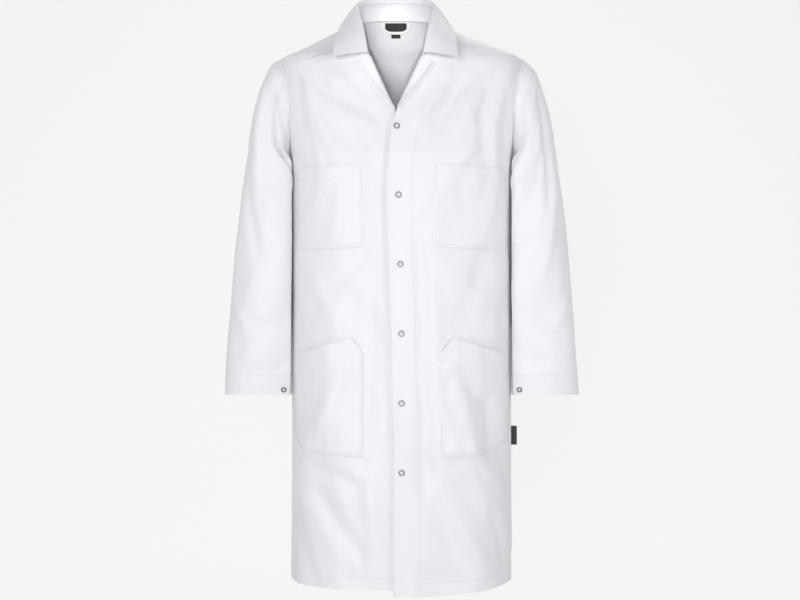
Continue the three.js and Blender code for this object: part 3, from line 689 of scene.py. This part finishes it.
def makePockets():
    c, h = chestPocket, hipPocket
    for side, mirror, dip in (("left", 1, 0.0), ("right", -1, underDip)):
        low = ([c["inner"], (c["inner"] + c["outer"]) / 2, c["outer"] - 0.004, c["outer"]],
               [c["bottom"] + 0.003, c["bottom"], c["bottom"] - 0.002, c["bottom"] + 0.004])
        high = ([c["inner"], c["outer"]], [c["top"], c["top"] - c["slant"]])
        pocketSheet(side, "Chest", c, mirror, low, high, dip)
        low = ([h["inner"], h["outer"] - 0.052, h["outer"] - 0.018, h["outer"] - 0.004, h["outer"]],
               [h["bottom"] + rise for rise in (0, 0.003, 0.011, 0.024, 0.034)])
        high = ([h["inner"], h["peakX"], h["outer"]], [h["inTop"], h["peak"], h["outTop"]])
        pocketSheet(side, "Hip", h, mirror, low, high, dip)
    print("pockets made")


lapel = {
    "outAlong": (0, 0.25, 0.5, 0.66, 0.83, 0.9, 1),
    "out": (0.0006, 0.011, 0.018, 0.022, 0.027, 0.0262, 0.0255),
    "turn": (-0.16, -0.08, 0.0, 0.06, 0.16, 0.3, 0.45, 0.6, 0.8, 1.0),
    "liftTurn": (-0.16, -0.08, 0, 0.06, 0.16, 0.3, 0.8, 1),
    "lift": (-0.004, -0.0020, 0.0006, 0.0028, 0.0046, 0.0060, 0.0080, 0.0092),
    "stitchAt": 0.86, "stitchOffset": 0.0038,
}


def makeLapels():
    gorgeX, gorgeZ = coat["gorge"]
    for side, mirror, breakX, dip in (("left", 1, 0.002, 0.0), ("right", -1, 0.003, underDip)):
        along = np.linspace(0, 1, 56)[:, None]
        startZ = coat["breakHeight"] + 0.001
        rollX = breakX + (gorgeX - breakX) * along
        rollZ = startZ + (gorgeZ - startZ) * along
        out = np.interp(along, lapel["outAlong"], lapel["out"])
        fall = np.interp(along, [0, 0.8, 0.9, 1], [0, 0, 0.006, 0.017])
        turn = np.array(lapel["turn"])[None, :]
        lift = np.interp(turn, lapel["liftTurn"], lapel["lift"])
        x = rollX + out * np.maximum(turn, -0.02) - 0.0008
        z = rollZ - fall * np.clip(turn, 0, 1)
        angle, height = onFront(x, z)
        grid = place(angle * mirror, height, lift * np.ones_like(along), dip)
        body = side + "_front"
        makeSheet(side + "Lapel", facingOut(grid, mirror), body, [side + "_lapel"],
                  thick=0.0010)
        edge = (along[:, 0] > 0.06) & (along[:, 0] < 0.86)
        lineX = (rollX + out * lapel["stitchAt"])[edge, 0]
        lineZ = (rollZ - fall * lapel["stitchAt"])[edge, 0]
        angle, height = onFront(lineX, lineZ)
        stitchOnBody(body, angle * mirror, height, lapel["stitchOffset"], dip)
    print("lapels made")


makePockets()
makeLapels()

# collar

collar = {
    "fold": ((51, -99, 973), (56, -74, 1004), (62, -43, 1036), (69, -10, 1066), (70, 18, 1088),
             (46, 44, 1101), (0, 55, 1104)),
    "stand": ((54, -93, 974.5), (69, -67, 994), (80, -36, 1020), (88, 0, 1041), (78, 32, 1054),
              (48, 55, 1063.5), (0, 63.5, 1066.5)),
    "edge": ((112, -101.5, 963), (110, -80, 989), (105, -44, 1018), (101, -4, 1040), (96, 42, 1049),
             (66, 78, 1050), (0, 86, 1046)),
    "steps": 150, "bulge": 0.0042, "belly": 0.012, "stitchAt": 0.9,
}  # lines in millimetres, from one collar point to the middle of the back


def smoothCurve(half, count):
    left = [(-x, y, z) for x, y, z in half[:-1]]
    knots = np.array(left + list(half[::-1]), float) * mm
    before, after = 2 * knots[0] - knots[1], 2 * knots[-1] - knots[-2]
    knots = np.vstack([before, knots, after])
    spans = len(knots) - 3
    share = np.linspace(0, spans, count)
    index = np.minimum(share.astype(int), spans - 1)
    t = (share - index)[:, None]
    p0, p1, p2, p3 = (knots[index + k] for k in range(4))
    return 0.5 * (2 * p1 + (p2 - p0) * t + (2 * p0 - 5 * p1 + 4 * p2 - p3) * t ** 2
                  + (3 * p1 - p0 - 3 * p2 + p3) * t ** 3)


def leafBulge(drop):
    return collar["bulge"] + collar["belly"] * drop * (1 - drop)


def makeCollar():
    fold, stand, edge = (smoothCurve(collar[k], collar["steps"]) for k in ("fold", "stand", "edge"))
    count = len(fold)
    outward = fold * [1, 1, 0]
    outward /= np.linalg.norm(outward, axis=1, keepdims=True)
    up = np.array([0, 0, 1.0])
    spots = np.arange(count)
    endwise = np.minimum(1, np.minimum(spots, count - 1 - spots) / 10)[:, None]
    lines = []
    for share in np.linspace(0, 1, 12):  # the stand, from the neck seam to just under the fold
        bow = 0.0012 * math.sin(math.pi * share)
        lines.append((stand - up * 0.0016) * (1 - share) + (fold - up * 0.0026) * share + outward * bow)
    grid = settle(np.array(lines))
    makeSheet("collarStand", grid, "coat_body", ["collar_stand"],
              thick=0.0012)
    leaf = []
    roll = ((-0.0006, -0.0075), (-0.0007, -0.0045), (-0.0003, -0.0018), (0.0009, 0.0002),
            (0.0024, 0.0008), (0.0039, -0.0003), (0.0052, -0.0024))
    for out, rise in roll:
        leaf.append(fold + outward * out + up * (rise + 0.0008))
    for drop in np.linspace(0.1, 1, 26):
        wave = 0.0011 * np.sin(np.linspace(0, 24, count))[:, None] * drop * endwise
        leaf.append(fold * (1 - drop) + edge * drop + outward * (leafBulge(drop) + wave))
    grid = settle(np.array(leaf))[::-1]
    makeSheet("collarLeaf", grid, "coat_body", ["collar_leaf"],
              thick=0.0013)
    drop = collar["stitchAt"]
    line = settle(fold * (1 - drop) + edge * drop + outward * (leafBulge(drop) + 0.0004))
    inner = slice(int(0.03 * count), int(0.97 * count))
    stitch("coat_body", line[inner], (outward + up * 0.5)[inner])
    for end in (slice(3, 4), slice(-4, -3)):
        shares = np.linspace(0.18, 0.9, 20)[:, None]
        across = fold[end] * (1 - shares) + edge[end] * shares
        line = settle(across + outward[end] * (leafBulge(shares) + 0.0004))
        stitch("coat_body", line, np.repeat(outward[end] + up * 0.3, 20, axis=0))
    print("collar made")


makeCollar()

# sleeves

sleeve = {
    "rings": ((236, 973, 209.5, 779, 63, 0), (252, 957, 210, 768, 66, -1),
              (265, 925, 210, 750, 69, -2), (279, 872, 209.5, 722, 72, -4),
              (290, 806, 209, 686, 70, -6), (301, 724, 208.5, 640, 66, -8),
              (312, 630, 208.5, 580, 60, -11), (320, 530, 208.5, 505, 54, -13),
              (328, 440, 208.5, 428, 48, -16), (334, 344, 209, 344, 42, -18)),
    "around": 72, "along": 170, "closer": 1.2, "clear": 0.0034, "press": 0.8,
    "girth": 0.055, "length": 0.62, "cuffFrom": 0.958, "cuffInset": 0.0016,
    "stitchRows": (0.962, 0.012),
}  # each ring: outer x and z, inner x and z, half depth and y of its middle, in millimetres
# folds on the sleeve: from (turn, share down) to the same, half width, height
sleeveFolds = {
    1: (
        (5.0, 0.16, 4.4, 0.44, 0.2, 0.006), (5.5, 0.28, 5.2, 0.6, 0.18, -0.0066),
        (4.9, 0.46, 4.3, 0.66, 0.2, -0.0042), (5.4, 0.6, 4.6, 0.76, 0.16, 0.0044),
        (4.1, 0.08, 4.3, 0.26, 0.17, -0.0058), (4.5, 0.82, 5.3, 0.88, 0.16, -0.0036),
        (4.2, 0.91, 5.1, 0.95, 0.13, -0.0026), (5.7, 0.8, 5.1, 0.86, 0.13, 0.003),
        (4.6, 0.67, 4.0, 0.8, 0.16, 0.0038),
    ),
    -1: (
        (5.5, 0.26, 5.2, 0.52, 0.19, 0.0064), (4.9, 0.1, 4.5, 0.34, 0.19, -0.0064),
        (4.6, 0.4, 4.9, 0.62, 0.2, -0.0044), (5.5, 0.58, 4.7, 0.72, 0.17, -0.0044),
        (4.1, 0.3, 4.4, 0.48, 0.17, 0.0046), (4.4, 0.84, 5.3, 0.89, 0.15, -0.0034),
        (4.2, 0.93, 5.0, 0.96, 0.13, -0.0024), (5.6, 0.82, 5.0, 0.87, 0.13, 0.0028),
        (4.5, 0.7, 5.2, 0.8, 0.16, 0.0038),
    ),
}


def sideOfBody(y, height):
    depth = np.where(y < 0, ringValue(4, height), ringValue(5, height))
    power = ringValue(6, height)
    return ringValue(3, height) * (1 - np.clip(np.abs(y) / depth, 0, 1) ** power) ** (1 / power)


def smoothTable(table, shares):
    table = np.asarray(table, float)
    spots = np.linspace(0, 1, len(table))
    slopes = np.gradient(table, spots, axis=0)
    index = np.clip(np.searchsorted(spots, shares, side="right") - 1, 0, len(table) - 2)
    step = spots[1] - spots[0]
    t = ((shares - spots[index]) / step)[:, None]
    a, b = table[index], table[index + 1]
    ma, mb = slopes[index] * step, slopes[index + 1] * step
    return ((2 * t ** 3 - 3 * t ** 2 + 1) * a + (t ** 3 - 2 * t ** 2 + t) * ma
            + (3 * t ** 2 - 2 * t ** 3) * b + (t ** 3 - t ** 2) * mb)


def sleeveGrid(mirror, inset=0.0, low=0.0, high=1.0, rows=None):
    turns = np.linspace(0, 2 * math.pi, sleeve["around"], endpoint=False)
    headY = (coat["armDepth"] + 0.001) * np.sin(turns)
    headZ = armMiddle + (armHalf + 0.001) * np.cos(turns)
    head = np.stack([sideOfBody(headY, headZ) + 0.0019, headY, headZ], axis=1)
    lines = [head]
    for outX, outZ, inX, inZ, halfDepth, ahead in sleeve["rings"]:
        share = 0.5 + 0.5 * np.cos(turns)
        share = np.where(share < 0.5, 0.5 - 0.5 * np.abs(np.cos(turns)) ** 0.75, share)
        bow = np.sign(np.sin(turns)) * np.abs(np.sin(turns)) ** 0.85
        near = inX - sleeve["closer"]
        line = np.stack([near + (outX - near) * share, ahead + halfDepth * bow,
                         inZ + (outZ - inZ) * share], axis=1) * mm
        beside = sideOfBody(line[:, 1], line[:, 2]) + sleeve["clear"]
        beside = np.where(line[:, 2] < coat["armpit"], beside, line[:, 0])
        press = sleeve["press"] * smoothStep(-np.cos(turns), 0.0, 0.55)
        line[:, 0] += (np.minimum(beside, line[:, 0]) - line[:, 0]) * press
        lines.append(line)
    rings = np.array(lines)
    shares = np.linspace(low, high, rows or sleeve["along"])
    grid = smoothTable(rings.reshape(len(rings), -1), shares).reshape(len(shares), len(turns), 3)
    around = np.roll(grid, -1, axis=1) - np.roll(grid, 1, axis=1)
    down = np.gradient(grid, axis=0)
    normal = np.cross(around, down)
    normal /= np.maximum(1e-9, np.linalg.norm(normal, axis=2, keepdims=True))
    facing = np.sign(np.sum(normal * (grid - grid.mean(axis=1, keepdims=True)), axis=(1, 2)).mean())
    normal *= facing
    share = np.broadcast_to(shares[:, None], grid.shape[:2])
    turn = np.broadcast_to(turns[None, :], grid.shape[:2])
    girth, length = sleeve["girth"], sleeve["length"]
    lift = 0.0038 * ripple(turn * girth, share * length, 21 + mirror, 6, 0.13, 0.05, 2.6)
    fine = ripple(turn * 0.05 + share * 0.3, share * length, 33 + mirror, 5, 0.07, 0.026, 1.2)
    lift = lift + 0.0010 * fine
    for t0, s0, t1, s1, width, height in sleeveFolds[mirror]:
        u, v = (turn - t0) * girth, (share - s0) * length
        alongU, alongV = (t1 - t0) * girth, (s1 - s0) * length
        q = np.clip((u * alongU + v * alongV) / math.hypot(alongU, alongV) ** 2, 0, 1)
        away = np.hypot(u - q * alongU, v - q * alongV)
        bow = 0.6 + 0.4 * np.sin(math.pi * q)
        lift = lift + height * bow * np.exp(-((away / (width * 0.07)) ** 2))
    gather = 0.0012 * np.sin(turn * 13 + 0.8 * np.sin(turn * 5))
    gather = gather * np.exp(-((share - 0.045) / 0.03) ** 2)
    inside = smoothStep(np.cos(turn), -0.72, -0.3)
    lift = (lift * inside + gather) * smoothStep(share, 0.0, 0.06)
    lift = lift * (0.25 + 0.75 * smoothStep(-share, -1.0, -0.95))
    grid = grid + normal * (lift - inset)[..., None]
    return grid * [mirror, 1, 1], normal * [mirror, 1, 1]


def makeSleeves():
    for side, mirror in (("left", 1), ("right", -1)):
        body = side + "_arm"
        grid, normal = sleeveGrid(mirror)
        placed = settle(grid)
        makeSheet(side + "Sleeve", facingOut(placed, -mirror), body, [side + "_sleeve"],
                  closed=True, thick=0.0011)
        cuff = settle(sleeveGrid(mirror, sleeve["cuffInset"], sleeve["cuffFrom"], 1.0, 8)[0])
        makeSheet(side + "CuffHem", facingOut(cuff, -mirror), body, [side + "_cuff_hem"],
                  closed=True, thick=0.0009)
        for share in sleeve["stitchRows"]:
            row = int(share * (placed.shape[0] - 1))
            ring = np.vstack([placed[row], placed[row][:1]])
            rim = np.vstack([normal[row], normal[row][:1]])
            stitch(body, ring + rim * 0.0001, rim)
    print("sleeves made")


makeSleeves()

# labels and hang loop

label = {"width": 0.042, "height": 0.016, "top": 1.062, "lift": -0.0026,
         "tabHalf": 0.009, "tabHeight": 0.007, "tabDrop": 0.0035,
         "loopFall": 0.019, "loopStand": 0.011, "loopSeat": 0.0773, "tape": 0.0046, "sewnIn": 0.006}


def backPatch(name, node, half, low, high):
    height = backHeightAt(np.linspace(low, high, 14))[:, None] * np.ones((1, 24))
    x = np.linspace(-half, half, 24)[None, :] * np.ones((14, 1))
    grid = place(math.pi - angleAt(x, height), height, label["lift"])
    return makeSheet(name, grid, "coat_body", [node], material=labelCloth,
                     thick=0.0008)


def makeTrim():
    top = label["top"]
    tabTop = top - label["height"] - label["tabDrop"]
    sizeTab = backPatch("sizeTab", "size_tab", label["tabHalf"], tabTop - label["tabHeight"], tabTop)
    backPatch("neckLabel", "neck_label", label["width"] / 2, top - label["height"], top)
    turn = np.linspace(0, math.pi, 60)[None, :]
    across = np.linspace(-0.5, 0.5, 6)[:, None] * label["tape"]
    reach = label["width"] / 2 + 0.004 + across
    x = -reach * np.sign(np.cos(turn)) * np.abs(np.cos(turn)) ** 0.5
    z = top - 0.002 - (label["loopFall"] + across) * np.sin(turn) ** 0.8
    y = coat["backDepth"] - label["loopSeat"] + (top - z) * 0.45 - label["loopStand"] * np.sin(turn)
    grid = settle(np.stack([x, y, z], axis=-1))
    makeSheet("hangerLoop", grid, "coat_body", ["hanger_loop"], material=tape,
              thick=0.0011)
    low, high = (np.array(corner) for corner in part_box("side_flag_label"))
    low[0] -= label["sewnIn"]
    out, rise = np.linspace(0, 1, 30)[:, None], np.linspace(0, 1, 30)[None, :]
    x = low[0] + (high[0] - low[0]) * out + 0 * rise
    y = (low[1] + high[1]) / 2 + 0.0012 * np.sin(out * 2.6) * (0.4 + 0.6 * rise)
    z = low[2] + (high[2] - low[2]) * rise + 0 * out
    makeSheet("sideFlagLabel", np.stack([x, y, z], axis=-1), "coat_body", ["side_flag_label"],
              material=labelCloth, thick=0.0010)
    print("trim made")


makeTrim()

# snaps

snap = {
    "count": 6, "top": 0.834, "pitch": 0.1244, "line": 0.0, "segments": 40,
    "cap": (0.0057, 0.0033, 0.0017, 0.0009), "socket": (0.0052, 0.0032, 0.0015, -0.0047),
    "stud": (0.0048, 0.0007, 0.0013, -0.0064), "back": (0.0052, 0.0026, 0.0013, -0.0117),
    "cuffRing": (0.0050, 0.0026, 0.0016, 0.0008), "cuffBack": (0.0042, 0.0024, 0.0016, -0.0048),
}  # rings: outer and inner radius, height, place from the cloth; stud: radius, height, dome, place


def pressedRing(name, outer, inner, height, material):
    bpy.ops.object.select_all(action="DESELECT")
    bpy.ops.mesh.primitive_torus_add(major_radius=(outer + inner) / 2, minor_radius=(outer - inner) / 2,
                                     major_segments=snap["segments"], minor_segments=12)
    ring = bpy.context.active_object
    ring.name = name
    bpy.ops.object.mode_set(mode="EDIT")
    bpy.ops.mesh.select_all(action="SELECT")
    bpy.ops.transform.resize(value=(1, 1, height / (outer - inner)))
    bpy.ops.object.mode_set(mode="OBJECT")
    only(ring)
    bpy.ops.object.shade_smooth()
    ring.data.materials.clear()
    ring.data.materials.append(material)
    return ring


def pressedDisc(name, radius, height, dome, material):
    bpy.ops.object.select_all(action="DESELECT")
    bpy.ops.mesh.primitive_cylinder_add(vertices=snap["segments"], radius=radius, depth=height)
    disc = bpy.context.active_object
    disc.name = name
    bpy.ops.object.mode_set(mode="EDIT")
    mesh = bmesh.from_edit_mesh(disc.data)
    for face in mesh.faces:
        face.select_set(face.normal.z > 0.9)
    bpy.ops.mesh.inset(thickness=radius * 0.45)
    bpy.ops.transform.translate(value=(0, 0, dome))
    bpy.ops.mesh.inset(thickness=radius * 0.12)
    bpy.ops.mesh.select_all(action="DESELECT")
    bpy.ops.object.mode_set(mode="OBJECT")
    bevel = disc.modifiers.new("edge", "BEVEL")
    bevel.width, bevel.segments, bevel.limit_method = height * 0.22, 2, "ANGLE"
    only(disc)
    bpy.ops.object.modifier_apply(modifier="edge")
    bpy.ops.object.shade_smooth_by_angle(angle=math.radians(35))
    disc.data.materials.clear()
    disc.data.materials.append(material)
    return disc


def seatPiece(piece, point, normal, offset, body, node):
    toward = Vector(normal).normalized()
    turn = toward.to_track_quat("Z", "Y").to_matrix().to_4x4()
    piece.data.transform(Matrix.Translation(Vector(point) + toward * offset) @ turn)
    bpy.context.view_layer.update()
    moveWith(piece, body)
    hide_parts(node)


def makeSnaps():
    for i in range(snap["count"]):
        z = snap["top"] - i * snap["pitch"]
        angle, height = onFront(np.array([snap["line"]]), np.array([z]))
        face = place(angle, height, panel["offset"])[0]
        normal = bodyNormal(angle, height)[0]
        number = str(i + 1)
        for make, name, sizes, body, node in (
                (pressedRing, "snapCapRing", snap["cap"], "left_front", "snap_cap_ring_"),
                (pressedRing, "snapSocket", snap["socket"], "left_front", "snap_socket_"),
                (pressedDisc, "snapStud", snap["stud"], "right_front", "snap_stud_"),
                (pressedRing, "snapBackRing", snap["back"], "right_front", "snap_back_ring_")):
            seatPiece(make(name + number, *sizes[:3], snapSteel), face, normal, sizes[3], body,
                      node + number)
    for side, mirror in (("left", 1), ("right", -1)):
        low, high = (np.array(corner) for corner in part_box(side + "_cuff_snap_ring"))
        grid, normals = sleeveGrid(mirror)
        placed = settle(grid).reshape(-1, 3)
        spot = np.argmin(np.linalg.norm(placed - (low + high) / 2, axis=1))
        normal = normals.reshape(-1, 3)[spot]
        for kind, material in (("Ring", cuffSteel), ("Back", snapSteel)):
            sizes = snap["cuff" + kind]
            ring = pressedRing(side + "CuffSnap" + kind, *sizes[:3], material)
            seatPiece(ring, placed[spot], normal, sizes[3], side + "_arm",
                      side + "_cuff_snap_" + kind.lower())
    print("snaps made")


makeSnaps()


def makeStitches():
    for body, (points, faces) in stitchRuns.items():
        points = np.array(points)
        # stitches get the grey thread material, whose colour is painted shade of the stitch channel
        piece = meshFrom(body + "Stitches", points, faces, threadPaintedShade, points[:, [0, 2]])
        moveWith(piece, body)
    print("stitches made")


makeStitches()

# floor, light and camera

stage = {"floorDrop": 1.50, "wall": 3.8, "size": 9.0, "bend": 0.8, "glow": 0.64, "floorGlow": 0.30}


def makeStage():
    material = bpy.data.materials.new("paleStage")
    material.use_nodes = True
    shader = material.node_tree.nodes["Principled BSDF"]
    shader.inputs["Base Color"].default_value = (0.45, 0.45, 0.45, 1)
    shader.inputs["Roughness"].default_value = 1
    shader.inputs["Specular IOR Level"].default_value = 0
    shader.inputs["Emission Color"].default_value = (1, 1, 1, 1)
    nodes, links = material.node_tree.nodes, material.node_tree.links
    where = nodes.new("ShaderNodeTexCoord")
    parts = nodes.new("ShaderNodeSeparateXYZ")
    links.new(where.outputs["Object"], parts.inputs[0])
    size, floor, wall = stage["size"], hemLevel - stage["floorDrop"], stage["wall"]
    rise = nodes.new("ShaderNodeMapRange")
    rise.inputs["From Min"].default_value = floor
    rise.inputs["From Max"].default_value = floor + 0.5
    rise.inputs["To Min"].default_value = stage["floorGlow"]
    rise.inputs["To Max"].default_value = stage["glow"]
    links.new(parts.outputs["Z"], rise.inputs["Value"])
    links.new(rise.outputs[0], shader.inputs["Emission Strength"])
    bend = stage["bend"]
    profile = [(-size, floor), (wall - bend, floor)]
    for i in range(1, 13):
        turn = math.pi / 2 * i / 12
        profile.append((wall - bend + bend * math.sin(turn), floor + bend - bend * math.cos(turn)))
    profile.append((wall, floor + size))
    points = [(x, y, z) for y, z in profile for x in (-size, size)]
    faces = [(2 * i, 2 * i + 1, 2 * i + 3, 2 * i + 2) for i in range(len(profile) - 1)]
    sweep = meshFrom("paleSweep", points, faces, material)
    only(sweep)
    bpy.ops.object.shade_smooth()


lamps = {  # place, size, watts, colour
    "frontLight": ((-0.25, -3.4, -0.50), 0.9, 44, (1, 1, 1)),
    "keyLight": ((-2.0, -2.0, 1.1), 0.6, 20, (1, 1, 1)),
    "sideLight": ((2.3, -1.6, 0.3), 0.6, 15, (0.98, 0.99, 1)),
    "backLight": ((0.7, 2.6, 2.3), 1.0, 12, (1, 1, 1)),
}
neckLamp = {"place": (0.0, -2.9, -0.75), "aim": (0.0, 0.08, 0.010), "watts": 185, "cone": 3.6,
            "soft": 0.05}


def hangLamp(data, place, aim):
    lamp = bpy.data.objects.new(data.name, data)
    bpy.context.collection.objects.link(lamp)
    lamp.location = place
    lamp.rotation_euler = (Vector(aim) - Vector(place)).to_track_quat("-Z", "Y").to_euler()


def makeLight():
    for name, (place, size, watts, colour) in lamps.items():
        data = bpy.data.lights.new(name, "AREA")
        data.shape, data.size, data.energy, data.color = "DISK", size, watts, colour
        hangLamp(data, place, (0, 0, hemLevel + 0.55))
    data = bpy.data.lights.new("neckFill", "SPOT")
    data.energy, data.spot_size = neckLamp["watts"], math.radians(neckLamp["cone"])
    data.spot_blend, data.shadow_soft_size = 1.0, neckLamp["soft"]
    hangLamp(data, neckLamp["place"], neckLamp["aim"])
    world = bpy.data.worlds.new("studio")
    bpy.context.scene.world = world
    world.use_nodes = True
    world.node_tree.nodes["Background"].inputs[0].default_value = (0.94, 0.96, 1.0, 1)
    world.node_tree.nodes["Background"].inputs[1].default_value = 0.36


view = {"distance": 2.400, "height": 0.521, "side": -0.003, "lens": 56.8}


def makeCamera():
    data = bpy.data.cameras.new("camera")
    data.lens, data.sensor_width = view["lens"], 36
    camera = bpy.data.objects.new("camera", data)
    bpy.context.collection.objects.link(camera)
    camera.location = home + np.array([view["side"], -view["distance"], view["height"]])
    camera.rotation_euler = (math.pi / 2, 0, 0)
    bpy.context.scene.camera = camera
    bpy.context.scene.view_settings.view_transform = "Standard"


makeStage()
makeLight()
makeCamera()
